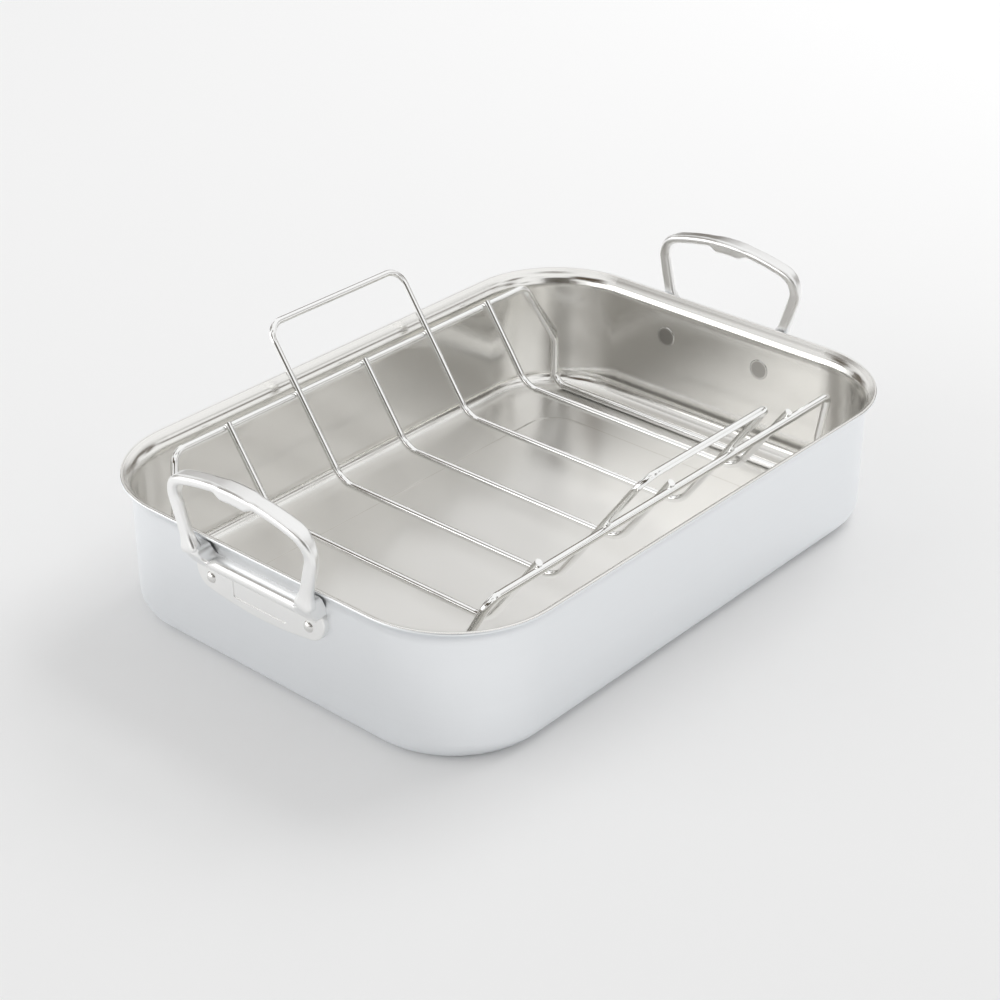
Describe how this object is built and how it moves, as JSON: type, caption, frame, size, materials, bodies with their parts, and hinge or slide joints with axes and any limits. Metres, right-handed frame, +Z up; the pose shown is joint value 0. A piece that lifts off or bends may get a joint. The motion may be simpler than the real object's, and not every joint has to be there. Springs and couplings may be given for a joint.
{
  "type": "roasting pan with rack",
  "caption": "Rectangular roasting pan with round corners, a flared rim and a riveted arch handle on each short wall, holding a lift-out V-shaped wire rack with a lifting wire at each side.",
  "frame": {"origin": "middle of the pan's underside", "axes": "+X along the pan's length towards one handle, +Z up out of the pan"},
  "size_m": [0.4472, 0.3084, 0.1328],
  "materials": {
    "pan_steel": "satin brushed outside, brighter polish inside and on the rim",
    "handle_steel": "satin cast stainless steel",
    "rivet_steel": "turned stainless steel",
    "rack_wire": "polished wire"
  },
  "bodies": {
    "pan": {"pan_body": "pan_steel", "handle_left": "handle_steel", "handle_right": "handle_steel", "rivet_left_front": "rivet_steel", "rivet_left_back": "rivet_steel", "rivet_right_front": "rivet_steel", "rivet_right_back": "rivet_steel"},
    "rack": {"rack_frame": "rack_wire", "rack_cross_wire_left": "rack_wire", "rack_cross_wire_left_centre": "rack_wire", "rack_cross_wire_middle": "rack_wire", "rack_cross_wire_right_centre": "rack_wire", "rack_cross_wire_right": "rack_wire", "rack_lifting_wire_front": "rack_wire", "rack_lifting_wire_back": "rack_wire"}
  },
  "joints": [
    {"name": "rack_lift", "type": "slide", "parent": "pan", "child": "rack", "axis": [0, 0, 1], "range_m": [0, 0.15]}
  ]
}
